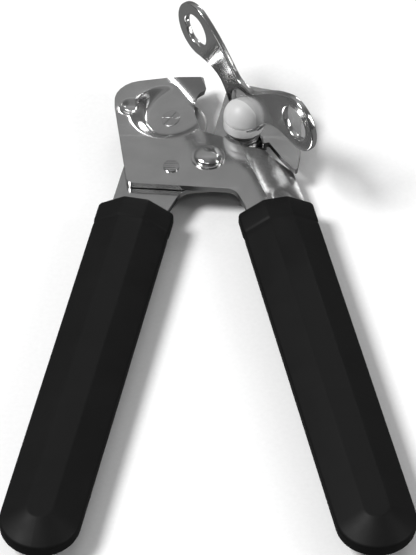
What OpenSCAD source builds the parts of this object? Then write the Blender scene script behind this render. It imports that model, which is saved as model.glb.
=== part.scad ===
// Manual can opener with crossed levers, dipped grips and a two-winged crank.
// Everything is drawn about the pivot axis, with z = 0 on the front plate's top
// face, +Y towards the head and +X to the right. placed() then puts the middle of
// the opener's footprint at the origin, with the lowest point at z = 0.

/* [Placing] */
// Pivot axis ahead of the middle of the footprint
pivot_ahead = 50; // [48:0.1:53]
// Front plate's top face above the surface it lies on
plate_height = 9.9; // [9.9:0.1:12]

/* [Plates] */
// Thickness of both pressed plates
sheet = 1.7; // [1.6:0.1:1.8]
// Space between the front and the back plate
plate_gap = 0.3; // [0.3:0.05:0.4]
// Width of the tangs inside the grips
tang_w = 15.4; // [14:0.1:15.5]
// Length of a tang inside its grip
tang_l = 104; // [60:1:106]
// How far the formed edge drops below the front face
flange_drop = 4.9; // [4.8:0.1:5.2]
// Bend of the bottle hook below the plate, in degrees
hook_bend = 20; // [16:1:22]

/* [Handle joint] */
// Radius of the pivot rivet's shank
rivet_r = 2.6; // [2.2:0.1:3]
// Radius of the rivet's domed head
rivet_head_r = 3.85; // [3.5:0.05:4.2]
// Radius of the ring under the rivet's head
ring_r = 4.6; // [4.3:0.1:5]
// Running clearance round pins and shafts, on the radius
run_gap = 0.06; // [0.03:0.01:0.1]
// How far the handles close from the open position, in degrees
close_angle = 10.5; // [6:0.5:10.5]
// How far the handles open beyond it, in degrees
open_angle = 2; // [0:0.5:2]
// Radius of the stop pin
pin_r = 1.5; // [1.2:0.1:1.7]

/* [Cutter] */
// Tilt of the pressed land towards the left, in degrees
land_tilt = 17.7; // [14:0.1:18]
// Direction that the land falls towards, in degrees from +X
land_turn = 209.5; // [200:0.5:215]
// Radius of the flat land
land_r = 6.7; // [6.4:0.1:7]
// Depth of the land's middle below the front face
land_depth = 1.9; // [1.7:0.1:2]
// Radius of the pocket's rim at the front face
rim_r = 10; // [9.8:0.1:10.2]
// Radius of the cutting wheel
cutter_r = 8.8; // [8.4:0.1:8.9]
// Thickness of the cutting wheel at its hub
cutter_t = 1.2; // [1:0.1:1.2]
// Radius of the stud that carries the cutting wheel
stud_r = 2; // [1.8:0.1:2.2]

/* [Feed] */
// Radius of the feed wheel over its teeth
feed_r = 6.4; // [6:0.1:6.5]
// Number of teeth on the feed wheel
feed_teeth = 22; // [16:1:26]
// Thickness of the feed wheel
feed_t = 2.6; // [2.2:0.1:2.6]
// Radius of the feed shaft
shaft_r = 2.5; // [2.3:0.1:2.6]

/* [Crank] */
// Thickness of the crank's sheet
key_t = 1.7; // [1.5:0.1:1.8]
// Width of the crank's flat web under the cap
web_w = 5.2; // [4.6:0.1:5.4]
// Distance from the shaft to the middle of a wing's hole
wing_reach = 22.5; // [20:0.5:24]
// Height of the wing's hole above the front plate
wing_height = 19.2; // [18.8:0.1:20]
// Radius of a wing's round end
wing_r = 8.2; // [7.8:0.1:8.4]
// Radius of a wing's hole
wing_hole_r = 4.75; // [4.2:0.05:5]
// Radius of the crank's cap
cap_r = 5.5; // [5.3:0.1:5.6]
// Height of the cap's parting line above the front plate
cap_height = 4.1; // [4.1:0.1:4.3]
// Height of the cap's dome above the parting line
dome_h = 6; // [5.6:0.1:6.2]
// Direction that the first wing points, in degrees from +X
crank_turn = 125.7; // [90:0.1:160]

/* [Grips] */
// Width of a grip
grip_w = 20.5; // [19:0.1:21]
// Thickness of a grip
grip_t = 11.6; // [11:0.1:12.6]
// Width of a grip's flat face
grip_flat = 6.7; // [6:0.1:8]
// Height of a grip's side face
grip_side = 3.2; // [3:0.1:3.6]
// Length of a grip
grip_l = 121; // [116:0.5:124]
// Length of the collar at the head end
collar_l = 7.5; // [5:0.5:9]
// How far the collar stands proud
collar_lip = 0.1; // [0.05:0.05:0.4]
// Distance of the right grip's head end from the middle line
right_reach = 17.9; // [17.4:0.1:18.6]
// Distance of the left grip's head end from the middle line
left_reach = 19; // [18.4:0.1:19.4]
// Splay of the right grip, in degrees
right_splay = 12.3; // [11.6:0.1:12.8]
// Splay of the left grip, in degrees
left_splay = 11.7; // [11.2:0.1:12.4]
// Distance of the grips' head ends behind the pivot
grip_start = 17.8; // [17.4:0.1:18.6]

/* [Hidden] */
$fn = 64;
front_back = -sheet;
rear_top = front_back - plate_gap;
rear_back = rear_top - sheet;
hub = [9.7, 11.4];
stop_at = [-9.9, -3.5];
land_at = [-10.2, 17.2, -land_depth];
rim_at = [-11.3, 18];
rim_slope = 1.2;
dimple_at = [-21.2, 20];
grip_mid = rear_top - sheet / 2;
cap_base = cap_height - 2.9;
key_base = cap_height - key_t / 2;
wing_back = -0.8;
feed_top = -4.6;
feed_base = feed_top - feed_t;
slack = 0.05;
eps = 0.01;

// Corner list [x, y, radius] to a rounded outline: each corner becomes an arc
// that is tangent to the two sides that meet there.
function unit(v) = v / norm(v);
function corner_arc(before, at, after, r) =
    let (u = unit(before - at), w = unit(after - at),
        half = acos(max(-1, min(1, u * w))) / 2,
        run = r / tan(half),
        middle = at + unit(u + w) * r / sin(half),
        from = at + u * run - middle,
        to = at + w * run - middle,
        start = atan2(from[1], from[0]),
        swing = ((atan2(to[1], to[0]) - start + 540) % 360) - 180,
        steps = max(2, ceil(abs(swing) / 15)))
    [for (i = [0 : steps]) middle + r * [cos(start + swing * i / steps), sin(start + swing * i / steps)]];
function rounded(list) =
    let (n = len(list))
    [for (i = [0 : n - 1])
        let (b = list[(i + n - 1) % n], c = list[i], a = list[(i + 1) % n])
        for (p = c[2] > 0
                ? corner_arc([b[0], b[1]], [c[0], c[1]], [a[0], a[1]], c[2])
                : [[c[0], c[1]]]) p];

// Point s mm along a grip from its head end and off to its outer side; side is
// 1 for the right grip and -1 for the left one
function reach(side) = side > 0 ? right_reach : left_reach;
function splay(side) = side > 0 ? right_splay : left_splay;
function grip_point(side, s, off = 0) = [
    side * (reach(side) + s * sin(splay(side)) + off * cos(splay(side))),
    -grip_start - s * cos(splay(side)) + off * sin(splay(side))];

module placed() {
    translate([0, pivot_ahead, plate_height]) children();
}

module at_hub(z = 0) {
    translate([hub[0], hub[1], z]) children();
}

module along_crank(z = 0) {
    at_hub(z) rotate([0, 0, crank_turn]) children();
}

// Local z is the stud's axis, local origin the middle of the pressed land
module on_land() {
    translate(land_at) rotate([0, 0, land_turn]) rotate([0, land_tilt, 0]) children();
}

module on_grip(side) {
    translate([side * reach(side), -grip_start, grip_mid])
        rotate([0, 0, side * splay(side) - 90]) children();
}

module ring(outer, inner, h) {
    difference() {
        cylinder(r = outer, h = h);
        translate([0, 0, -1]) cylinder(r = inner, h = h + 2);
    }
}

// Front plate with its pocket, hook, formed edge and tang
front_outline = [
    [-21.7, -9.7, 2], [-26.6, 29, 8], [-9.7, 31.8, 0], [-3.8, 22, 0], [-3.9, 18.4, 2],
    [-1.9, 10.4, 2], [8.6, 6.2, 3.5], [11.8, -0.2, 12], [17.6, -17.6, 0],
    [grip_point(1, 4, tang_w / 2)[0], grip_point(1, 4, tang_w / 2)[1], 0],
    [grip_point(1, tang_l, tang_w / 2)[0], grip_point(1, tang_l, tang_w / 2)[1], 6],
    [grip_point(1, tang_l, -tang_w / 2)[0], grip_point(1, tang_l, -tang_w / 2)[1], 6],
    [grip_point(1, 1, -tang_w / 2)[0], grip_point(1, 1, -tang_w / 2)[1], 4],
    [7.2, -12.1, 4], [-14, -10.3, 20]];

// The bottle hook is drawn flat from the fold line's lower end: x away from the
// fold, y up along it
hook_from = [-3.8, 22];
hook_turn = 31.1;
hook_outline = [[-0.4, 0, 0], [1.2, 0.9, 1], [3.7, 3.1, 3], [7.1, 4.6, 0.5], [9.7, 10.2, 0.6],
    [0, 11.45, 0], [-0.4, 11.2, 0]];

flange_top = [[10.2, 4.6], [17.4, -15.6]];
flange_foot = [[15.5, 5.5], [22.7, -0.6], [25.5, -10.9], [26.2, -15]];

// The pocket is a cone cut off by the tilted land
module pocket(grow, drop) {
    deep = 7;
    intersection() {
        translate([rim_at[0], rim_at[1], -drop - deep])
            cylinder(r1 = rim_r + grow - deep * rim_slope, r2 = rim_r + grow + 0.5 * rim_slope, h = deep + 0.5);
        on_land() translate([-30, -30, -drop]) cube([60, 60, 30]);
    }
}

module dimple(grow, drop) {
    translate([dimple_at[0], dimple_at[1], -drop - 1.1])
        cylinder(r1 = 1.5 + grow, r2 = 3.1 + grow, h = 1.15);
}

module hook() {
    translate([hook_from[0], hook_from[1], 0]) rotate([0, 0, hook_turn])
        rotate([0, hook_bend, 0]) translate([0, 0, -sheet])
            linear_extrude(sheet) polygon(rounded(hook_outline));
}

module formed_edge() {
    post = sheet - 0.2;
    hull() {
        for (p = flange_top) translate([p[0], p[1], -post]) cylinder(r = 0.4, h = post, $fn = 24);
        for (p = flange_foot)
            translate([p[0], p[1], -flange_drop - post]) cylinder(r = 0.4, h = post, $fn = 24);
    }
}

module cutter_lever() {
    color("silver") difference() {
        union() {
            translate([0, 0, front_back]) linear_extrude(sheet) polygon(rounded(front_outline));
            formed_edge();
            hook();
            intersection() {
                union() {
                    pocket(sheet * 0.6, sheet);
                    dimple(sheet * 0.6, sheet * 0.8);
                }
                translate([0, 0, -8]) linear_extrude(8) polygon(rounded(front_outline));
            }
        }
        pocket(0, 0);
        dimple(0, 0);
        translate([0, 0, -3]) cylinder(r = rivet_r, h = 4);
        translate([stop_at[0], stop_at[1], -3]) cylinder(r = pin_r, h = 4);
        on_land() translate([0, 0, -4]) cylinder(r = stud_r, h = 5);
    }
}

// Rear plate with its jaw edge, stop slot and tang
rear_outline = [
    [5.9, 31.8, 1.2], [19.7, 28.2, 6], [26, 22.6, 5], [25, 3.4, 2], [24, -3.6, 0.6],
    [20, 2, 14], [16.6, 7.9, 0.5], [14.9, 7.5, 0.5], [14.1, 10.9, 0], [13.3, 8.4, 1],
    [10.5, 6.5, 2], [7.6, 4.5, 4], [8, -4, 5], [3, -9.4, 4], [-7, -10.4, 5],
    [grip_point(-1, 1, -tang_w / 2)[0], grip_point(-1, 1, -tang_w / 2)[1], 4],
    [grip_point(-1, tang_l, -tang_w / 2)[0], grip_point(-1, tang_l, -tang_w / 2)[1], 6],
    [grip_point(-1, tang_l, tang_w / 2)[0], grip_point(-1, tang_l, tang_w / 2)[1], 6],
    [-22.2, 1.2, 3], [-14, 3.2, 8], [-3, 4.4, 6], [0.9, 8.6, 4]];

module stop_slot() {
    r = norm(stop_at);
    at = atan2(stop_at[1], stop_at[0]);
    half = pin_r + 0.2;
    steps = 8;
    for (i = [0 : steps])
        rotate([0, 0, at + open_angle - (open_angle + close_angle) * i / steps])
            translate([r, 0, rear_back - 1]) cylinder(r = half, h = sheet + 2);
    for (i = [0.5 : steps])
        rotate([0, 0, at + open_angle - (open_angle + close_angle) * i / steps])
            translate([r - half + 0.01, -0.6, rear_back - 1]) cube([2 * half - 0.02, 1.2, sheet + 2]);
}

module feed_lever() {
    color("silver") difference() {
        translate([0, 0, rear_back]) linear_extrude(sheet) polygon(rounded(rear_outline));
        translate([0, 0, rear_back - 1]) cylinder(r = rivet_r + run_gap, h = sheet + 2);
        at_hub(rear_back - 1) cylinder(r = shaft_r + 0.8, h = sheet + 2);
        stop_slot();
    }
}

// Dipped grip: an eight-sided bar with a revolved round end and a collar
module grip_section(grow) {
    w = grip_w / 2 + grow;
    t = grip_t / 2 + grow;
    f = grip_flat / 2 + grow / 2;
    s = grip_side / 2 + grow / 2;
    polygon([[-w, -s], [-f, -t], [f, -t], [w, -s], [w, s], [f, t], [-f, t], [-w, s]]);
}

module grip_bar(grow, from, to) {
    translate([from, 0, 0]) rotate([90, 0, 90]) linear_extrude(to - from) grip_section(grow);
}

module grip(side, tang_z) {
    round_at = grip_l - grip_w / 2;
    color([0.13, 0.13, 0.14]) difference() {
        on_grip(side) union() {
            grip_bar(0, collar_l - 0.5, round_at);
            grip_bar(collar_lip, 0, collar_l);
            translate([round_at, 0, 0]) rotate_extrude()
                intersection() {
                    grip_section(0);
                    translate([0, -20]) square([20, 40]);
                }
        }
        on_grip(side) translate([-1, -tang_w / 2, tang_z - grip_mid])
            cube([tang_l + 1.1, tang_w, sheet]);
    }
}

module right_grip() {
    grip(1, front_back);
}

module left_grip() {
    grip(-1, rear_back);
}

// Spherical cap of the given rim radius and height, flat side down
module dome(r, h) {
    big = (r * r + h * h) / (2 * h);
    intersection() {
        translate([0, 0, h - big]) sphere(r = big);
        cylinder(r = r, h = h + 1);
    }
}

module pivot_rivet() {
    color("gainsboro") {
        translate([0, 0, rear_back - 0.7]) cylinder(r = rivet_r, h = 0.7 - rear_back + 0.4);
        translate([0, 0, 0.4]) cylinder(r = rivet_head_r, h = 0.4);
        translate([0, 0, 0.8]) dome(rivet_head_r, 1.2);
        translate([0, 0, rear_back - 0.7]) mirror([0, 0, 1]) dome(4.1, 1.3);
    }
}

module pivot_ring() {
    color("silver") ring(ring_r, rivet_r, 0.4);
}

module pivot_spacer() {
    color("gray") translate([0, 0, rear_top + slack]) ring(6, rivet_r, plate_gap - slack);
}

module pivot_back_washer() {
    color("silver") translate([0, 0, rear_back - 0.7]) ring(5, rivet_r, 0.7 - slack);
}

module stop_pin() {
    translate([stop_at[0], stop_at[1], 0]) color("silver") {
        translate([0, 0, rear_back - 0.9]) cylinder(r = pin_r, h = 0.9 - rear_back);
        difference() {
            cylinder(r = 2.2, h = 0.4);
            for (i = [-2 : 2]) translate([-3, i * 0.8 - 0.12, 0.28]) cube([6, 0.24, 1]);
        }
        translate([0, 0, rear_back - 0.9]) cylinder(r = 2.5, h = 0.7);
    }
}

// Parts on the cutter's stud, from the plate down
spacer_l = 2.7;
thin_l = 0.25;
wheel_top = -sheet - spacer_l - thin_l;
wheel_base = wheel_top - cutter_t;
stud_head_top = wheel_base - 0.45;

module cutter_stud() {
    color("silver") on_land() {
        translate([0, 0, stud_head_top]) cylinder(r = stud_r, h = -stud_head_top + 0.05);
        difference() {
            cylinder(r = 2.6, h = 0.18);
            for (i = [0 : 2]) rotate([0, 0, i * 60 + 15]) translate([-3, -0.18, 0.06]) cube([6, 0.36, 1]);
        }
        translate([0, 0, stud_head_top - 1]) cylinder(r = 3.1, h = 1);
    }
}

module cutter_spacer() {
    color("gray") on_land() translate([0, 0, -sheet - spacer_l]) ring(4, stud_r, spacer_l);
}

module cutter_washer() {
    color("silver") on_land() translate([0, 0, -sheet - spacer_l - thin_l + slack])
        ring(3.6, stud_r, thin_l - slack);
}

module cutter_wheel() {
    rim = 0.2;
    color("gainsboro") on_land() translate([0, 0, wheel_base]) difference() {
        rotate_extrude() polygon([
            [0, 0], [5.6, 0], [cutter_r, cutter_t / 2 - rim / 2], [cutter_r, cutter_t / 2 + rim / 2],
            [5.6, cutter_t], [0, cutter_t]]);
        translate([0, 0, -1]) cylinder(r = stud_r + run_gap, h = cutter_t + 2);
    }
}

module cutter_spring_washer() {
    // dished ring: its outer edge stands off the wheel
    color("silver") on_land() translate([0, 0, stud_head_top]) difference() {
        cylinder(r1 = 3.4, r2 = 2.9, h = 0.4);
        translate([0, 0, -1]) cylinder(r = stud_r, h = 3);
    }
}

// Parts on the feed shaft, from the bushing outwards
flange_h = 0.7;
spring_base = rear_top + flange_h + slack;
spring_h = 0.6;
shoulder_base = spring_base + spring_h;

module shaft_bushing() {
    color("gray") at_hub() difference() {
        union() {
            translate([0, 0, rear_back]) cylinder(r = shaft_r + 0.8, h = sheet);
            translate([0, 0, rear_top]) cylinder(r = 4.2, h = flange_h);
        }
        translate([0, 0, rear_back - 1]) cylinder(r = shaft_r + run_gap, h = 5);
    }
}

module feed_shaft() {
    color("gray") at_hub() {
        translate([0, 0, -9.2]) cylinder(r = shaft_r, h = 9.2 + key_base + key_t);
        translate([0, 0, shoulder_base]) cylinder(r = 3.6, h = cap_base - shoulder_base);
        translate([0, 0, key_base + key_t]) dome(3.3, 1.1);
    }
}

module shaft_spring_washer() {
    color("silver") at_hub(spring_base) difference() {
        cylinder(r1 = 3.7, r2 = 4, h = spring_h);
        translate([0, 0, -1]) cylinder(r = shaft_r, h = 3);
    }
}

module crank_collar() {
    color([0.78, 0.78, 0.77]) along_crank() difference() {
        translate([0, 0, cap_base]) cylinder(r = cap_r, h = cap_height - cap_base);
        translate([0, 0, cap_base - 1]) cylinder(r = shaft_r, h = 5);
        translate([-cap_r - 1, -web_w / 2, key_base]) cube([2 * cap_r + 2, web_w, 3]);
    }
}

// The crank's sheet in its upright plane, x out from the shaft: right half, then
// mirrored. The round ends are joined by a bridge that passes over the cap.
wing_half = [
    [2.2, 15.2], [3.4, 15.6], [5.2, 16.9], [8.1, 19.4], [10.9, 21.6], [15, 24.5], [19.2, 26.6],
    [22.5, 19], [21.4, 11.2], [17.6, 11.3], [12.6, 10.6], [9.6, 8.6], [7.9, 6.4],
    [7, key_base], [6, key_base], [6, 7.6], [5.2, 10], [3.6, 11.8], [0, 12.8]];
wing_outline = concat(wing_half,
    [for (i = [len(wing_half) - 2 : -1 : 0]) [-wing_half[i][0], wing_half[i][1]]]);

module wings() {
    translate([0, wing_back + key_t / 2, 0]) rotate([90, 0, 0]) linear_extrude(key_t)
        difference() {
            union() {
                polygon(wing_outline);
                for (m = [-1, 1]) translate([m * wing_reach, wing_height]) circle(r = wing_r);
            }
            for (m = [-1, 1]) translate([m * wing_reach, wing_height]) circle(r = wing_hole_r);
        }
}

module crank() {
    color("silver") along_crank() difference() {
        union() {
            translate([-7, -web_w / 2, key_base]) cube([14, web_w, key_t]);
            wings();
        }
        translate([0, 0, key_base - 1]) cylinder(r = shaft_r, h = 4);
    }
}

// Dome in two lobes: the near one stands proud of the far one
module crank_cap() {
    proud = 0.5;
    color([0.82, 0.82, 0.81]) along_crank(cap_height) difference() {
        union() {
            intersection() {
                dome(cap_r, dome_h - 0.7);
                translate([-10, -10, 0]) cube([20, 10 + eps, 10]);
            }
            intersection() {
                dome(cap_r, dome_h);
                translate([-10, 0, 0]) cube([20, 10, 10]);
            }
        }
        translate([-cap_r - 1, -web_w / 2, -1]) cube([2 * cap_r + 2, web_w, 1 + key_t / 2]);
        translate([0, 0, -1]) cylinder(r = 3.4, h = 3.4);
    }
}

module feed_washer() {
    color("silver") at_hub(feed_top) ring(4.6, shaft_r, rear_back - slack - 0.1 - feed_top);
}

module feed_wheel() {
    tooth = 0.9;
    color("gray") at_hub(feed_base) difference() {
        cylinder(r = feed_r, h = feed_t);
        for (i = [0 : feed_teeth - 1]) rotate([0, 0, i * 360 / feed_teeth])
            translate([feed_r, 0, -1]) rotate([0, 0, 45])
                translate([-tooth / 2, -tooth / 2, 0]) cube([tooth, tooth, feed_t + 2]);
        translate([0, 0, -1]) cylinder(r = shaft_r, h = feed_t + 2);
    }
}

module feed_nut() {
    nut_h = 1.6;
    color("silver") at_hub(feed_base - nut_h) difference() {
        cylinder(r = 4.1, h = nut_h, $fn = 6);
        translate([0, 0, -1]) cylinder(r = shaft_r, h = nut_h + 2);
    }
}

placed() cutter_lever();
placed() right_grip();
placed() pivot_rivet();
placed() pivot_ring();
placed() pivot_spacer();
placed() pivot_back_washer();
placed() stop_pin();
placed() cutter_stud();
placed() cutter_spacer();
placed() cutter_washer();
placed() cutter_wheel();
placed() cutter_spring_washer();
placed() feed_lever();
placed() left_grip();
placed() shaft_bushing();
placed() feed_shaft();
placed() shaft_spring_washer();
placed() crank_collar();
placed() crank();
placed() crank_cap();
placed() feed_washer();
placed() feed_wheel();
placed() feed_nut();
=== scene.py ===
import math

import bmesh
import bpy
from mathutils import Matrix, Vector


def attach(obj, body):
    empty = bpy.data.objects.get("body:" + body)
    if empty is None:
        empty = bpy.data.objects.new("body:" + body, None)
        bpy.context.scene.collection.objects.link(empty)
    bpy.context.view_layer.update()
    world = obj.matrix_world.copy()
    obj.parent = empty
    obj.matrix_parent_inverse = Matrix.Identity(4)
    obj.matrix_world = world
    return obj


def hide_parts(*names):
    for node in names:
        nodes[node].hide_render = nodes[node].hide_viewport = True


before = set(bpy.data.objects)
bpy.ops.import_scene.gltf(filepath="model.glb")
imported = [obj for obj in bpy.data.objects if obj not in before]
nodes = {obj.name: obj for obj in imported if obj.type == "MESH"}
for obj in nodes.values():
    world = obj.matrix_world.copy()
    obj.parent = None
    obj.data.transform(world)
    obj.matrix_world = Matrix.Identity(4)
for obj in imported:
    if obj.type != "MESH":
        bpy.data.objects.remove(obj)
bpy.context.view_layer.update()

mm = 0.001

# pivot axis on the front plate's top face; everything below is drawn about it in mm
pivot = Vector((0, 50, 9.9))


def place(x, y, z):
    return Vector((x + pivot.x, y + pivot.y, z + pivot.z)) * mm


print("camera")

cameraSet = {"elevation": 46, "distance": 1000, "lens": 240, "sensor": 36, "drop": 32.5,
             "near": 0.05, "far": 20}


def makeCamera():
    e = math.radians(cameraSet["elevation"])
    ahead = Vector((0, math.cos(e), -math.sin(e)))
    up = Vector((0, math.sin(e), math.cos(e)))
    data = bpy.data.cameras.new("shotCamera")
    data.sensor_fit = "VERTICAL"
    data.sensor_height = cameraSet["sensor"]
    data.lens = cameraSet["lens"]
    data.clip_start = cameraSet["near"]
    data.clip_end = cameraSet["far"]
    cam = bpy.data.objects.new("shotCamera", data)
    cam.location = (pivot - ahead * cameraSet["distance"] - up * cameraSet["drop"]) * mm
    cam.rotation_euler = (math.radians(90) - e, 0, 0)
    bpy.context.scene.collection.objects.link(cam)
    bpy.context.scene.camera = cam


makeCamera()


def addPiece(name, verts, faces, body, swaps, material):
    mesh = bpy.data.meshes.new(name)
    mesh.from_pydata([tuple(v) for v in verts], [], faces)
    mesh.validate()
    mesh.update()
    obj = bpy.data.objects.new(name, mesh)
    bpy.context.scene.collection.objects.link(obj)
    finishPiece(obj, body, swaps, material)
    return obj


def finishPiece(obj, body, swaps, material):
    mesh = obj.data
    mesh.materials.clear()
    mesh.materials.append(material)
    for p in mesh.polygons:
        p.use_smooth = True
    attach(obj, body)
    if swaps:
        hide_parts(*swaps)


def smoothByAngle(obj, degrees):
    obj.data.set_sharp_from_angle(angle=math.radians(degrees))


def joinDoubles(obj, gap=0.00001):
    weld = obj.modifiers.new("weld", "WELD")
    weld.merge_threshold = gap


def ringFaces(rows, around, closeStart=True, closeEnd=True):
    faces = []
    for r in range(rows - 1):
        for k in range(around):
            n = (k + 1) % around
            faces.append((r * around + k, r * around + n, (r + 1) * around + n, (r + 1) * around + k))
    if closeStart:
        faces.append(tuple(reversed(range(around))))
    if closeEnd:
        faces.append(tuple((rows - 1) * around + k for k in range(around)))
    return faces


def roundedLoop(corners, steps=4):
    # corners are x, y, radius; each becomes a short arc
    loop = []
    n = len(corners)
    for i, (x, y, r) in enumerate(corners):
        at = Vector((x, y))
        before = (Vector(corners[i - 1][:2]) - at).normalized()
        after = (Vector(corners[(i + 1) % n][:2]) - at).normalized()
        if r <= 0:
            loop.append(at)
            continue
        half = math.acos(max(-1, min(1, before.dot(after)))) / 2
        run = r / math.tan(half)
        start = at + before * run
        end = at + after * run
        middle = at + (before + after).normalized() * (r / math.sin(half))
        a = start - middle
        b = end - middle
        turn = math.atan2(a.x * b.y - a.y * b.x, a.dot(b))
        for k in range(steps + 1):
            t = turn * k / steps
            loop.append(middle + Vector((a.x * math.cos(t) - a.y * math.sin(t),
                                         a.x * math.sin(t) + a.y * math.cos(t))))
    return loop


def lathe(profile, centre, steps=72):
    # profile is radius, height from the bottom up, both ends on the axis
    verts = []
    inner = profile[1:-1]
    for r, z in inner:
        for k in range(steps):
            a = 2 * math.pi * k / steps
            verts.append(place(centre[0] + r * math.cos(a), centre[1] + r * math.sin(a), centre[2] + z))
    faces = ringFaces(len(inner), steps, False, False)
    low = len(verts)
    verts.append(place(centre[0], centre[1], centre[2] + profile[0][1]))
    top = len(verts)
    verts.append(place(centre[0], centre[1], centre[2] + profile[-1][1]))
    last = (len(inner) - 1) * steps
    for k in range(steps):
        n = (k + 1) % steps
        faces.append((low, n, k))
        faces.append((top, last + k, last + n))
    return verts, faces


print("materials")


def newGroup(name, inputs, outputs):
    group = bpy.data.node_groups.new(name, "ShaderNodeTree")
    for label, value in inputs.items():
        socket = group.interface.new_socket(label, in_out="INPUT", socket_type="NodeSocketFloat")
        socket.default_value = value
    for label in outputs:
        group.interface.new_socket(label, in_out="OUTPUT", socket_type="NodeSocketFloat")
    return group


def addNode(tree, kind, at, **values):
    node = tree.nodes.new(kind)
    node.location = at
    for key, value in values.items():
        if hasattr(node, key):
            setattr(node, key, value)
        else:
            node.inputs[key].default_value = value
    return node


def rampNode(tree, source, stops, at):
    ramp = tree.nodes.new("ShaderNodeValToRGB")
    ramp.location = at
    while len(ramp.color_ramp.elements) < len(stops):
        ramp.color_ramp.elements.new(0.5)
    for element, (pos, value) in zip(ramp.color_ramp.elements, stops):
        element.position = pos
        element.color = value if len(value) == 4 else (*value, 1)
    tree.links.new(source, ramp.inputs["Fac"])
    return ramp


def grey(v):
    return (v, v, v, 1)


# shared wear: cloudy smears, fine grain and long hairline scratches in object space
wearSet = {"scratchFrom": 0.66, "scratchFull": 0.72,
           # turn in radians, scale along the hairline, scale across it
           "scratches": [(0.5, 14, 900), (1.9, 10, 1300)], "scratchDepth": 60}
wearGroup = newGroup("surfaceWear", {"Smear Scale": 90.0, "Grain Scale": 1900.0},
                     ["Smear", "Scratch", "Grain"])


def buildWear():
    tree = wearGroup
    out = tree.nodes.new("NodeGroupOutput")
    out.location = (900, 0)
    given = tree.nodes.new("NodeGroupInput")
    given.location = (-700, 250)
    coord = addNode(tree, "ShaderNodeTexCoord", (-700, 0))
    smear = addNode(tree, "ShaderNodeTexNoise", (-400, 250), Detail=6.0, Roughness=0.62)
    tree.links.new(given.outputs["Smear Scale"], smear.inputs["Scale"])
    tree.links.new(coord.outputs["Object"], smear.inputs["Vector"])
    tree.links.new(smear.outputs["Fac"], out.inputs["Smear"])
    grain = addNode(tree, "ShaderNodeTexNoise", (-400, -350), Detail=3.0, Roughness=0.5)
    tree.links.new(given.outputs["Grain Scale"], grain.inputs["Scale"])
    tree.links.new(coord.outputs["Object"], grain.inputs["Vector"])
    tree.links.new(grain.outputs["Fac"], out.inputs["Grain"])
    marks = []
    for k, (turn, long, fine) in enumerate(wearSet["scratches"]):
        spin = addNode(tree, "ShaderNodeMapping", (-400, -80 - 200 * k))
        spin.inputs["Rotation"].default_value = (0, 0, turn)
        spin.inputs["Scale"].default_value = (long, fine, wearSet["scratchDepth"])
        tree.links.new(coord.outputs["Object"], spin.inputs["Vector"])
        line = addNode(tree, "ShaderNodeTexNoise", (-150, -80 - 200 * k), Scale=1.0, Detail=2.0)
        tree.links.new(spin.outputs["Vector"], line.inputs["Vector"])
        stops = [(wearSet["scratchFrom"], grey(0)), (wearSet["scratchFull"], grey(1))]
        marks.append(rampNode(tree, line.outputs["Fac"], stops, (100, -80 - 200 * k)))
    both = addNode(tree, "ShaderNodeMath", (420, -120), operation="MAXIMUM")
    tree.links.new(marks[0].outputs["Color"], both.inputs[0])
    tree.links.new(marks[1].outputs["Color"], both.inputs[1])
    tree.links.new(both.outputs["Value"], out.inputs["Scratch"])


buildWear()


bumpDepth = {"grain": 0.00004, "wave": 0.0002}  # metres


def makeMaterial(name, settings):
    mat = bpy.data.materials.new(name)
    mat.use_nodes = True
    tree = mat.node_tree
    shader = tree.nodes["Principled BSDF"]
    shader.location = (700, 0)
    tree.nodes["Material Output"].location = (1000, 0)
    shader.inputs["Metallic"].default_value = settings["metal"]
    for key, value in settings.get("fixed", {}).items():
        shader.inputs[key].default_value = value
    wear = tree.nodes.new("ShaderNodeGroup")
    wear.node_tree = wearGroup
    wear.location = (-500, 0)
    wear.inputs["Smear Scale"].default_value = settings["smear"]
    wear.inputs["Grain Scale"].default_value = settings["fine"]
    colour = rampNode(tree, wear.outputs["Smear"], settings["colour"], (-200, 250))
    tree.links.new(colour.outputs["Color"], shader.inputs["Base Color"])
    low, high = settings["rough"]
    rough = rampNode(tree, wear.outputs["Smear"], [(0.3, grey(low)), (0.7, grey(high))], (-200, 0))
    scratch = addNode(tree, "ShaderNodeMath", (150, -60), operation="MULTIPLY")
    scratch.inputs[1].default_value = settings["scratchRough"]
    tree.links.new(wear.outputs["Scratch"], scratch.inputs[0])
    total = addNode(tree, "ShaderNodeMath", (350, 0), operation="ADD")
    tree.links.new(rough.outputs["Color"], total.inputs[0])
    tree.links.new(scratch.outputs["Value"], total.inputs[1])
    tree.links.new(total.outputs["Value"], shader.inputs["Roughness"])
    grain = addNode(tree, "ShaderNodeBump", (150, -300), Strength=settings["grain"],
                    Distance=bumpDepth["grain"])
    tree.links.new(wear.outputs["Grain"], grain.inputs["Height"])
    wave = addNode(tree, "ShaderNodeBump", (400, -300), Strength=settings["wave"],
                   Distance=bumpDepth["wave"])
    tree.links.new(wear.outputs["Smear"], wave.inputs["Height"])
    tree.links.new(grain.outputs["Normal"], wave.inputs["Normal"])
    tree.links.new(wave.outputs["Normal"], shader.inputs["Normal"])
    return mat


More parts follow.
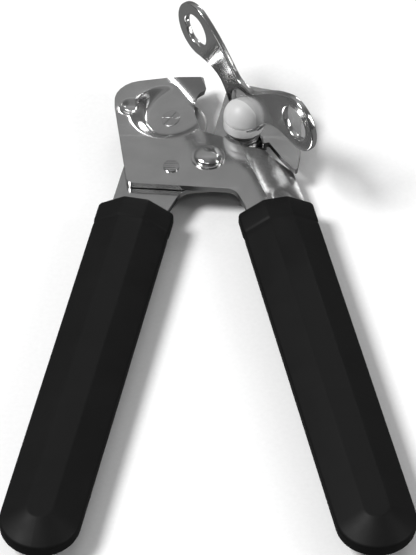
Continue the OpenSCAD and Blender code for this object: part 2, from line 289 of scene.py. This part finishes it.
plateChrome = makeMaterial("plateChrome", {
    "metal": 1, "rough": (0.1, 0.17), "scratchRough": 0.07, "grain": 0.08, "wave": 0.012,
    "smear": 90, "fine": 1900, "colour": [(0.25, grey(0.50)), (0.75, grey(0.58))]})
brightChrome = makeMaterial("brightChrome", {
    "metal": 1, "rough": (0.12, 0.18), "scratchRough": 0.08, "grain": 0.04, "wave": 0.004,
    "smear": 90, "fine": 1900, "colour": [(0.25, grey(0.58)), (0.75, grey(0.66))]})
bladeSteel = makeMaterial("bladeSteel", {
    "metal": 1, "rough": (0.2, 0.34), "scratchRough": 0.12, "grain": 0.25, "wave": 0.01,
    "smear": 90, "fine": 1900, "colour": [(0.25, grey(0.36)), (0.75, grey(0.5))]})
dullSteel = makeMaterial("dullSteel", {
    "metal": 1, "rough": (0.3, 0.45), "scratchRough": 0.1, "grain": 0.3, "wave": 0.02,
    "smear": 90, "fine": 1900, "colour": [(0.25, grey(0.28)), (0.75, grey(0.4))]})
capPlastic = makeMaterial("capPlastic", {
    "metal": 0, "rough": (0.42, 0.55), "scratchRough": 0.1, "grain": 0.12, "wave": 0.01,
    "smear": 90, "fine": 1900, "colour": [(0.25, grey(0.52)), (0.75, grey(0.6))]})
# the cap's rear lobe is the same plastic, coloured darker as painted shade for the shade it sits in
capPaintedShade = makeMaterial("capPaintedShade", {
    "metal": 0, "rough": (0.42, 0.55), "scratchRough": 0.1, "grain": 0.12, "wave": 0.01,
    "smear": 90, "fine": 1900, "colour": [(0.25, grey(0.34)), (0.75, grey(0.4))]})
gripVinyl = makeMaterial("gripVinyl", {
    "metal": 0, "rough": (0.5, 0.62), "scratchRough": 0.04, "grain": 0.2, "wave": 0.05,
    "fixed": {"Specular IOR Level": 0.16},
    "smear": 90, "fine": 1900, "colour": [(0.25, grey(0.0025)), (0.75, grey(0.0045))]})

print("grips")

grips = {
    "right": {"side": 1, "reach": 17.9, "splay": 12.3, "body": "cutter_side"},
    "left": {"side": -1, "reach": 19.0, "splay": 11.7, "body": "feed_side"},
    "start": 17.8, "middle": -2.85, "width": 20.5, "thick": 11.6, "flat": 6.7, "edge": 3.2, "length": 121,
    "corner": 1.1, "shrink": 0.1, "steps": 12,
    # rolled mouth and shallow collar groove: distance from the mouth, inset
    "collar": [(0, 1.3), (0.12, 0.75), (0.5, 0.25), (1.1, 0.02), (3, 0), (6.6, 0), (7.1, 0.06), (7.5, 0.2),
               (7.9, 0.22), (8.4, 0.12), (10, 0.1)]}


def gripLoop(inset):
    w = grips["width"] / 2 - inset
    t = grips["thick"] / 2 - inset
    f = grips["flat"] / 2 - inset * 0.4
    s = grips["edge"] / 2 - inset * 0.4
    r = grips["corner"]
    wide = r * 1.4
    return roundedLoop([(w, -s, r), (w, s, r), (f, t, wide), (-f, t, wide), (-w, s, r), (-w, -s, r),
                        (-f, -t, wide), (f, -t, wide)])


def makeGrip(name):
    g = grips[name]
    side, splay = g["side"], math.radians(g["splay"])
    shrink, steps = grips["shrink"], grips["steps"]
    rows = []
    for s, inset in grips["collar"]:
        rows.append([(s, p.x, p.y) for p in gripLoop(inset)])
    bodyAt = grips["collar"][-1][0]
    roundAt = grips["length"] - grips["width"] / 2
    for k in range(1, steps + 1):
        s = bodyAt + (roundAt - bodyAt) * k / steps
        rows.append([(s, p.x, p.y) for p in gripLoop(shrink)])
    for k in range(1, steps + 1):
        a = math.radians(90 * k / steps)
        rows.append([(roundAt + abs(p.x) * math.sin(a), p.x * math.cos(a), p.y) for p in gripLoop(shrink)])
    verts = []
    for row in rows:
        for s, off, z in row:
            x = side * (g["reach"] + s * math.sin(splay)) + off * math.cos(splay)
            y = -grips["start"] - s * math.cos(splay) + side * off * math.sin(splay)
            verts.append(place(x, y, grips["middle"] + z))
    faces = ringFaces(len(rows), len(rows[0]))
    obj = addPiece("grip_skin_" + name, verts, faces, g["body"], [name + "_grip"], gripVinyl)
    joinDoubles(obj)
    smoothByAngle(obj, 50)


makeGrip("right")
makeGrip("left")

print("crank")

crankSet = {"hub": (9.7, 11.4), "turn": 125.7, "thick": 1.7, "back": -0.8, "bevel": 0.42,
            "reach": 22.5, "height": 19.2, "round": 8.2, "hole": 4.75, "arcSteps": 40,
            "base": 3.25, "web": 5.2, "webEnd": 5.4, "webShoulder": 4.4, "webSlim": 0.3, "webRound": 0.4}
# half of the sheet's outline: along the wings and height, over the top edge and back under it
crankHalf = [
    (2.2, 15.2), (3.4, 15.6), (5.2, 16.9), (8.1, 19.4), (10.9, 21.7), (13.4, 23.5), (15.8, 24.95), (17.8, 26),
    (19.4, 26.75)]
crankUnder = [
    (20.4, 11.25), (19, 11.3), (17.6, 11.4), (15, 11.35), (12.6, 10.7), (10.9, 9.8), (9.6, 8.6), (8.5, 7.2),
    (7.6, 5.6), (6.6, 4.4), (6.2, 3.6), (5.2, 3.6), (5.4, 5.4), (5.5, 7.6), (5.1, 9.9), (4.2, 11.3),
    (2.6, 12.4), (0, 12.8)]


def crankPoint(along, off, z):
    t = math.radians(crankSet["turn"])
    hx, hy = crankSet["hub"]
    return place(hx + along * math.cos(t) - off * math.sin(t),
                 hy + along * math.sin(t) + off * math.cos(t), z)


def crankOutline():
    half = list(crankHalf)
    cx, cz, r = crankSet["reach"], crankSet["height"], crankSet["round"]
    top = math.atan2(crankHalf[-1][1] - cz, crankHalf[-1][0] - cx)
    low = math.atan2(crankUnder[0][1] - cz, crankUnder[0][0] - cx)
    steps = crankSet["arcSteps"]
    for k in range(1, steps):
        a = top + (low - top) * k / steps
        half.append((cx + r * math.cos(a), cz + r * math.sin(a)))
    half += crankUnder
    return half + [(-x, z) for x, z in reversed(half[:-1])]


def addSpline(curve, points):
    spline = curve.splines.new("POLY")
    spline.points.add(len(points) - 1)
    for p, (x, y) in zip(spline.points, points):
        p.co = (x, y, 0, 1)
    spline.use_cyclic_u = True


def sheetMesh(name, loops, thick, bevel):
    # flat sheet with rounded rims, in mm, middle plane at z = 0
    curve = bpy.data.curves.new(name, "CURVE")
    curve.dimensions = "2D"
    curve.fill_mode = "BOTH"
    curve.extrude = thick / 2 - bevel
    curve.bevel_depth = bevel
    curve.bevel_resolution = 4
    curve.offset = -bevel
    for loop in loops:
        addSpline(curve, loop)
    obj = bpy.data.objects.new(name, curve)
    bpy.context.scene.collection.objects.link(obj)
    deps = bpy.context.evaluated_depsgraph_get()
    mesh = bpy.data.meshes.new_from_object(obj.evaluated_get(deps))
    bpy.data.objects.remove(obj)
    bpy.data.curves.remove(curve)
    return mesh


def circle(cx, cy, r, steps=64):
    return [(cx + r * math.cos(2 * math.pi * k / steps), cy + r * math.sin(2 * math.pi * k / steps))
            for k in range(steps)]


def makeCrank():
    c = crankSet
    loops = [crankOutline()] + [circle(m * c["reach"], c["height"], c["hole"]) for m in (-1, 1)]
    mesh = sheetMesh("crank_sheet", loops, c["thick"], c["bevel"])
    for v in mesh.vertices:
        along, z, off = v.co
        v.co = crankPoint(along, c["back"] - off, z)
    obj = bpy.data.objects.new("crank_sheet", mesh)
    bpy.context.scene.collection.objects.link(obj)
    finishPiece(obj, "crank_set", ["crank"], brightChrome)
    smoothByAngle(obj, 35)
    # flat web under the cap, rounded at its rims
    w, b, t, r = c["web"] / 2, c["base"], c["thick"], c["webRound"]
    end, shoulder, slim = c["webEnd"], c["webShoulder"], c["webSlim"]
    rows = []
    for along, share, side, cut in ((-end, slim, c["back"], 0.25), (-shoulder, 1, 0, 0),
                                    (shoulder, 1, 0, 0), (end, slim, c["back"], 0.25)):
        loop = roundedLoop([(w - cut, b + cut, r), (w - cut, b + t - cut, r), (-w + cut, b + t - cut, r),
                            (-w + cut, b + cut, r)], 3)
        rows += [crankPoint(along, side + p.x * share, p.y) for p in loop]
    web = addPiece("crank_web", rows, ringFaces(4, len(loop)), "crank_set", ["crank"],
                   brightChrome)
    smoothByAngle(web, 40)


makeCrank()

print("cap")

capSet = {
    "base": 4.1, "radius": 5.5, "height": 6.0, "parting": 0.25, "skew": 14, "rings": 30, "around": 112,
    "skirt": [(0.55, 0.02), (0.16, 0.08), (0.02, 0.3)],  # inset, height
    "domeFrom": 4, "lipWide": 0.5, "lipShare": 0.35,
    "front": {"inset": 0, "drop": 0, "lip": 0.2, "material": capPlastic},
    # the back lobe takes the darker plastic, which is painted shade
    "back": {"inset": 0.16, "drop": 0.45, "lip": -0.1, "material": capPaintedShade}}


def makeLobe(which):
    # each lobe is a round cap cut flat at the parting plane; the front one stands proud
    c = capSet
    lobe = c[which]
    rings, around = c["rings"], c["around"]
    r0 = c["radius"] - lobe["inset"]
    height = c["height"] - lobe["drop"]
    profile = [(r0 - inset, z) for inset, z in c["skirt"]]
    for k in range(1, rings):
        a = math.radians(c["domeFrom"] + (90 - c["domeFrom"]) * k / rings)
        profile.append((r0 * math.cos(a) * 1.002, 0.2 + (height - 0.2) * math.sin(a)))
    keep = max if which == "front" else min
    s = math.radians(c["skew"])
    verts = []
    for r, z in profile:
        for k in range(around):
            a = 2 * math.pi * k / around
            off = r * math.sin(a)
            cut = keep(off, c["parting"])
            # the lobe's parting edge is slightly rounded over
            over = min(1, abs(off - cut) / c["lipWide"]) * lobe["lip"] * (c["lipShare"] if z > 0.5 else 0)
            along = r * math.cos(a)
            verts.append(crankPoint(along * math.cos(s) - cut * math.sin(s),
                                    along * math.sin(s) + cut * math.cos(s),
                                    c["base"] + max(0.02, z - over)))
    top = keep(0, c["parting"])
    verts.append(crankPoint(-top * math.sin(s), top * math.cos(s), c["base"] + height))
    faces = ringFaces(len(profile), around, True, False)
    last = (len(profile) - 1) * around
    faces += [(last + k, last + (k + 1) % around, len(verts) - 1) for k in range(around)]
    obj = addPiece("cap_" + which + "_lobe", verts, faces, "crank_set", ["crank_cap"],
                   lobe["material"])
    joinDoubles(obj)
    smoothByAngle(obj, 42)


makeLobe("front")
makeLobe("back")

print("rivet")

rivetSet = {"radius": 3.85, "low": 0.4, "rise": 1.62, "edge": 0.2, "steps": 15}


def makeRivet():
    r, low, edge, steps = (rivetSet[key] for key in ("radius", "low", "edge", "steps"))
    head = [(0, low), (r - 0.25, low), (r - 0.05, low + 0.06), (r, low + edge)]
    for k in range(1, steps):
        a = math.radians(90 * k / steps)
        head.append((r * math.cos(a), low + edge + (rivetSet["rise"] - edge) * math.sin(a)))
    head.append((0, low + rivetSet["rise"]))
    verts, faces = lathe(head, (0, 0, 0))
    obj = addPiece("rivet_head", verts, faces, "cutter_side", [], brightChrome)
    smoothByAngle(obj, 60)


makeRivet()

print("front plate")

plateSet = {
    "thick": 1.7, "rim": 0.3, "cell": 0.75, "gridX": (-27, 28), "gridY": (-17, 36), "gridShift": 0.013,
    "land": (-10.2, 17.2, -1.9), "tilt": 17.7, "turn": 209.5, "landSoft": 0.5,
    "rimAt": (-11.3, 18), "rimRadius": 10.0, "rimSlope": 1.2, "rimSoft": 0.45,
    "dimple": (-21.2, 20), "dimpleRadius": 3.1, "dimpleDeep": 1.1, "dimpleSlope": 0.75,
    "dimpleFloor": 0.5, "dimpleSoft": 0.35,
    "fold": (-3.8, 22), "foldTurn": 31.1, "foldBend": 20, "foldSoft": 2.2,
    "foldFrom": 21, "foldFade": 1.5,  # the bend starts above this line, over this run
    "edgeTop": ((10.2, 4.6), (17.4, -15.6)), "edgeDrop": 4.85, "edgeWide": 11.5,
    "edgeSoft": 1.5, "edgeStart": -3, "edgeEnd": 13.5, "edgeFade": 3.5,
    "beadHigh": 0.55, "beadWide": 0.75,
    "bead": [(17.2, -16.5), (17.4, -13.8), (18.2, -11.6), (19.8, -10.3), (21.6, -10.4), (22.9, -11.8),
             (23.6, -14), (24, -16.5)]}
# x, y and corner radius, clockwise from the corner by the left grip
plateOutline = [
    (-21.7, -9.7, 2), (-26.6, 29, 8), (-9.71, 31.8, 0), (-1.27, 35.45, 0.6), (-0.46, 29.39, 0.6),
    (-2.43, 26.5, 2.4), (-3.3, 23.4, 1), (-3.9, 18.4, 2), (-1.9, 10.4, 2), (8.6, 6.2, 3.2),
    (10.4, 4.4, 0.4), (15.5, 5.9, 0.4), (23, -0.6, 2), (25.7, -10.9, 3), (25.7, -16.5, 0), (27.4, -26, 0),
    (12.4, -29.2, 0), (9.9, -18.2, 3), (7.2, -12.1, 4), (-14, -10.3, 20)]


def blendStep(t):
    t = min(1, max(0, t))
    return t * t * (3 - 2 * t)


def softMax(a, b, k):
    h = max(k - abs(a - b), 0) / k
    return max(a, b) + h * h * k / 4


def softMin(a, b, k):
    return -softMax(-a, -b, k)


def lineGap(p, a, b):
    a, b = Vector(a), Vector(b)
    t = min(1, max(0, (p - a).dot(b - a) / (b - a).length_squared))
    return (p - a - (b - a) * t).length


def edgeLine():
    a, b = (Vector(q) for q in plateSet["edgeTop"])
    ahead = (b - a).normalized()
    return a, ahead, Vector((-ahead.y, ahead.x))


def plateHeight(x, y):
    s = plateSet
    p = Vector((x, y))
    turn, tilt = math.radians(s["turn"]), math.radians(s["tilt"])
    land = Vector(s["land"][:2])
    along = (p - land).dot(Vector((math.cos(turn), math.sin(turn))))
    floorHeight = s["land"][2] - along * math.tan(tilt)
    cone = ((p - Vector(s["rimAt"])).length - s["rimRadius"]) / s["rimSlope"]
    z = softMin(0, softMax(floorHeight, cone, s["landSoft"]), s["rimSoft"])
    gap = (p - Vector(s["dimple"])).length
    cup = softMax(-s["dimpleDeep"], (gap - s["dimpleRadius"]) * s["dimpleSlope"], s["dimpleFloor"])
    z = softMin(z, cup, s["dimpleSoft"])
    # the hook bends down beyond its fold line
    fold = math.radians(s["foldTurn"])
    beyond = (p - Vector(s["fold"])).dot(Vector((math.cos(fold), math.sin(fold))))
    soft = s["foldSoft"]
    if y > s["foldFrom"] and beyond > -soft:
        bend = beyond if beyond > soft else (beyond + soft) ** 2 / (4 * soft)
        z -= bend * math.tan(math.radians(s["foldBend"])) * min(1, (y - s["foldFrom"]) / s["foldFade"])
    # right side is bent down to the foot
    a, ahead, side = edgeLine()
    off = (p - a).dot(side)
    soft = s["edgeSoft"]
    if off > -soft and (p - a).dot(ahead) > s["edgeStart"]:
        fade = 1 - blendStep((-y - s["edgeEnd"]) / s["edgeFade"])
        z -= s["edgeDrop"] * blendStep((off + soft) / s["edgeWide"]) * fade
    ridge = min(lineGap(p, s["bead"][i], s["bead"][i + 1]) for i in range(len(s["bead"]) - 1))
    return z + s["beadHigh"] * math.exp(-(ridge / s["beadWide"]) ** 2)


frontChrome = makeMaterial("frontChrome", {
    "metal": 1, "rough": (0.1, 0.17), "scratchRough": 0.07, "grain": 0.08, "wave": 0.012,
    "smear": 90, "fine": 1900, "colour": [(0.25, grey(0.54)), (0.75, grey(0.62))]})

# the strip on the bent side of the edge line is satin and mottled; its colour is also multiplied down to
# about 0.72 of the plate's as painted shade, standing in for the darker reflection of its sloping face
satinStripWithPaintedShade = {"rough": 0.34, "shade": 0.72, "darker": 0.12, "lighter": 0.1, "mottleScale": 1100.0,
              "from": -1.7, "full": -1.1}


def addSatinStripWithPaintedShade(mat):
    t = satinStripWithPaintedShade
    tree = mat.node_tree
    shader = tree.nodes["Principled BSDF"]
    corner, _, away = edgeLine()
    coord = addNode(tree, "ShaderNodeTexCoord", (-900, 600))
    side = addNode(tree, "ShaderNodeVectorMath", (-700, 600), operation="DOT_PRODUCT")
    side.inputs[1].default_value = (*away, 0)
    tree.links.new(coord.outputs["Object"], side.inputs[0])
    line = addNode(tree, "ShaderNodeMapRange", (-500, 600))
    edge = place(*corner, 0).to_2d().dot(away)
    line.inputs["From Min"].default_value = edge + t["from"] * mm
    line.inputs["From Max"].default_value = edge + t["full"] * mm
    tree.links.new(side.outputs["Value"], line.inputs["Value"])
    mottle = addNode(tree, "ShaderNodeTexNoise", (-500, 850), Scale=t["mottleScale"], Detail=4.0,
                     Roughness=0.7)
    tree.links.new(coord.outputs["Object"], mottle.inputs["Vector"])
    stops = [(0.35, grey(t["shade"] - t["darker"])), (0.65, grey(t["shade"] + t["lighter"]))]
    flecks = rampNode(tree, mottle.outputs["Fac"], stops, (-250, 850))
    # multiply the plate colour by the mottle ramp, which is centred on the painted shade factor, so the strip
    # is darkened as well as mottled
    shade = addNode(tree, "ShaderNodeMix", (200, 700), data_type="RGBA", blend_type="MULTIPLY")
    plain = shader.inputs["Base Color"].links[0].from_socket
    tree.links.new(line.outputs["Result"], shade.inputs[0])
    tree.links.new(plain, shade.inputs[6])
    tree.links.new(flecks.outputs["Color"], shade.inputs[7])
    tree.links.new(shade.outputs[2], shader.inputs["Base Color"])
    rough = addNode(tree, "ShaderNodeMix", (450, 500), data_type="FLOAT")
    polished = shader.inputs["Roughness"].links[0].from_socket
    rough.inputs[3].default_value = t["rough"]
    tree.links.new(line.outputs["Result"], rough.inputs[0])
    tree.links.new(polished, rough.inputs[2])
    tree.links.new(rough.outputs[0], shader.inputs["Roughness"])


addSatinStripWithPaintedShade(frontChrome)


def makePlate():
    loop = roundedLoop(plateOutline, 6)
    bm = bmesh.new()
    verts = [bm.verts.new((p.x, p.y, 0)) for p in loop]
    bm.faces.new(verts)
    # a square grid of cuts, shifted a little so that none runs through a corner
    cell = plateSet["cell"]
    grids = ((Vector((1, 0, 0)), plateSet["gridX"]), (Vector((0, 1, 0)), plateSet["gridY"]))
    for normal, (low, high) in grids:
        for k in range(int((high - low) / cell)):
            at = normal * (low + k * cell + plateSet["gridShift"])
            bmesh.ops.bisect_plane(bm, geom=bm.verts[:] + bm.edges[:] + bm.faces[:], dist=0.0001,
                                   plane_co=at, plane_no=normal)
    bmesh.ops.triangulate(bm, faces=[f for f in bm.faces if len(f.verts) > 4])
    bm.normal_update()
    bm.faces.ensure_lookup_table()
    if bm.faces[0].normal.z < 0:
        bmesh.ops.reverse_faces(bm, faces=bm.faces[:])
    for v in bm.verts:
        z = plateHeight(v.co.x, v.co.y)
        v.co = place(v.co.x, v.co.y, z)
    mesh = bpy.data.meshes.new("front_plate")
    bm.to_mesh(mesh)
    bm.free()
    obj = bpy.data.objects.new("front_plate", mesh)
    bpy.context.scene.collection.objects.link(obj)
    finishPiece(obj, "cutter_side", ["cutter_lever"], frontChrome)
    solid = obj.modifiers.new("sheet", "SOLIDIFY")
    solid.thickness = plateSet["thick"] * mm
    solid.offset = -1
    rim = obj.modifiers.new("rim", "BEVEL")
    rim.width = plateSet["rim"] * mm
    rim.segments = 3
    rim.limit_method = "ANGLE"
    rim.angle_limit = math.radians(60)
    rim.harden_normals = True


makePlate()

print("kept parts")

shownParts = {
    "feed_lever": {"round": 0.28, "parts": 3, "slot": "plate"},
    "crank_collar": {"round": 0.25, "parts": 3, "slot": "cap"},
    "cutter_wheel": {"round": 0.05, "parts": 2, "slot": "blade"},
    "feed_wheel": {"round": 0.08, "parts": 2, "slot": "gear_steel"},
    "feed_nut": {"round": 0.15, "parts": 2, "slot": "gear_steel"},
    "feed_shaft": {"round": 0.12, "parts": 2, "slot": "dark_steel"},
    "pivot_ring": {"round": 0.12, "parts": 3, "slot": "bright"},
    "pivot_rivet": {"round": 0.1, "parts": 2, "slot": "bright"},
    "pivot_spacer": {"round": 0.03, "parts": 1, "slot": "dark_steel"},
    "pivot_back_washer": {"round": 0.1, "parts": 2, "slot": "bright"},
    "stop_pin": {"round": 0.04, "parts": 2, "slot": "plate"},
    "cutter_stud": {"round": 0.04, "parts": 2, "slot": "plate"},
    "cutter_spacer": {"round": 0.1, "parts": 2, "slot": "dark_steel"},
    "cutter_washer": {"round": 0.03, "parts": 1, "slot": "dark_steel"},
    "cutter_spring_washer": {"round": 0.04, "parts": 1, "slot": "dark_steel"},
    "shaft_bushing": {"round": 0.1, "parts": 2, "slot": "bushing"},
    "shaft_spring_washer": {"round": 0.05, "parts": 1, "slot": "dark_steel"},
    "feed_washer": {"round": 0.08, "parts": 2, "slot": "dark_steel"}}


slotMaterials = {"plate": plateChrome, "bright": brightChrome, "blade": bladeSteel,
                 "gear_steel": bladeSteel, "dark_steel": dullSteel, "bushing": dullSteel, "cap": capPlastic}


def dressPart(name, settings):
    obj = nodes[name]
    obj.data.materials.clear()
    obj.data.materials.append(slotMaterials[settings["slot"]])
    joinDoubles(obj, 0.000004)
    bevel = obj.modifiers.new("rims", "BEVEL")
    bevel.width = settings["round"] * mm
    bevel.segments = settings["parts"]
    bevel.limit_method = "ANGLE"
    bevel.angle_limit = math.radians(38)
    bevel.harden_normals = True
    bevel.use_clamp_overlap = True


for partName, partSettings in shownParts.items():
    dressPart(partName, partSettings)

print("stage")

floorSet = {"half": 6, "rough": 0.9, "shine": 0.1, "fleckScale": 900.0, "shade": (0.86, 0.89),
            "mirrored": 0.17}


def makeFloor():
    h = floorSet["half"]
    mesh = bpy.data.meshes.new("floor")
    mesh.from_pydata([(-h, -h, 0), (h, -h, 0), (h, h, 0), (-h, h, 0)], [], [(0, 1, 2, 3)])
    obj = bpy.data.objects.new("floor", mesh)
    bpy.context.scene.collection.objects.link(obj)
    mat = bpy.data.materials.new("floorPaper")
    mat.use_nodes = True
    tree = mat.node_tree
    shader = tree.nodes["Principled BSDF"]
    shader.inputs["Roughness"].default_value = floorSet["rough"]
    shader.inputs["Specular IOR Level"].default_value = floorSet["shine"]
    coord = addNode(tree, "ShaderNodeTexCoord", (-700, 0))
    fleck = addNode(tree, "ShaderNodeTexNoise", (-500, 0), Scale=floorSet["fleckScale"], Detail=3.0)
    tree.links.new(coord.outputs["Object"], fleck.inputs["Vector"])
    low, high = floorSet["shade"]
    paper = rampNode(tree, fleck.outputs["Fac"], [(0.3, grey(low)), (0.7, grey(high))], (-300, 0))
    tree.links.new(paper.outputs["Color"], shader.inputs["Base Color"])
    # mirrored in the metal the paper is a dark card
    card = addNode(tree, "ShaderNodeBsdfDiffuse", (0, -300))
    card.inputs["Color"].default_value = grey(floorSet["mirrored"])
    path = addNode(tree, "ShaderNodeLightPath", (0, 300))
    mix = addNode(tree, "ShaderNodeMixShader", (300, 0))
    tree.links.new(path.outputs["Is Glossy Ray"], mix.inputs["Fac"])
    tree.links.new(shader.outputs["BSDF"], mix.inputs[1])
    tree.links.new(card.outputs["BSDF"], mix.inputs[2])
    tree.links.new(mix.outputs["Shader"], tree.nodes["Material Output"].inputs["Surface"])
    obj.data.materials.append(mat)


makeFloor()


# pale overhead and mid grey behind; darker at the sides and in front
skySet = {"height": [(0, 0.16), (0.3, 0.2), (0.6, 0.34), (0.8, 0.36), (0.95, 0.5), (1, 0.8)],
          "behind": [(0, 0.34), (0.2, 0.42), (0.42, 1)], "strength": 1.0}


def makeWorld():
    world = bpy.data.worlds.new("studio")
    bpy.context.scene.world = world
    world.use_nodes = True
    tree = world.node_tree
    back = tree.nodes["Background"]
    coord = addNode(tree, "ShaderNodeTexCoord", (-900, 0))
    split = addNode(tree, "ShaderNodeSeparateXYZ", (-700, 0))
    tree.links.new(coord.outputs["Generated"], split.inputs["Vector"])
    sky = rampNode(tree, split.outputs["Z"], [(at, grey(v)) for at, v in skySet["height"]], (-450, 150))
    behind = rampNode(tree, split.outputs["Y"], [(at, grey(v)) for at, v in skySet["behind"]], (-450, -150))
    mix = addNode(tree, "ShaderNodeMix", (-150, 0), data_type="RGBA", blend_type="MULTIPLY")
    mix.inputs[0].default_value = 1.0
    tree.links.new(sky.outputs["Color"], mix.inputs[6])
    tree.links.new(behind.outputs["Color"], mix.inputs[7])
    tree.links.new(mix.outputs[2], back.inputs["Color"])
    back.inputs["Strength"].default_value = skySet["strength"]


makeWorld()

aimAt = Vector((0, 0.05, 0.01))
lights = {
    "keyPanel": {"at": (-0.9, -0.2, 1.3), "size": (0.5, 0.5), "power": 26},
    "backPanel": {"at": (0.28, 1.25, 0.83), "size": (0.4, 0.14), "power": 2.2},
    "frontPanel": {"at": (-0.15, -0.75, 1.05), "size": (0.5, 0.14), "power": 0.8},
    "sideStrip": {"at": (1.2, -0.3, 0.6), "size": (0.2, 0.9), "power": 7}}


def makeLights():
    for name, l in lights.items():
        data = bpy.data.lights.new(name, "AREA")
        data.shape = "RECTANGLE"
        data.size, data.size_y = l["size"]
        data.energy = l["power"]
        obj = bpy.data.objects.new(name, data)
        obj.location = l["at"]
        obj.rotation_euler = (aimAt - Vector(l["at"])).to_track_quat("-Z", "Y").to_euler()
        bpy.context.scene.collection.objects.link(obj)


makeLights()
bpy.context.scene.view_settings.view_transform = "Standard"
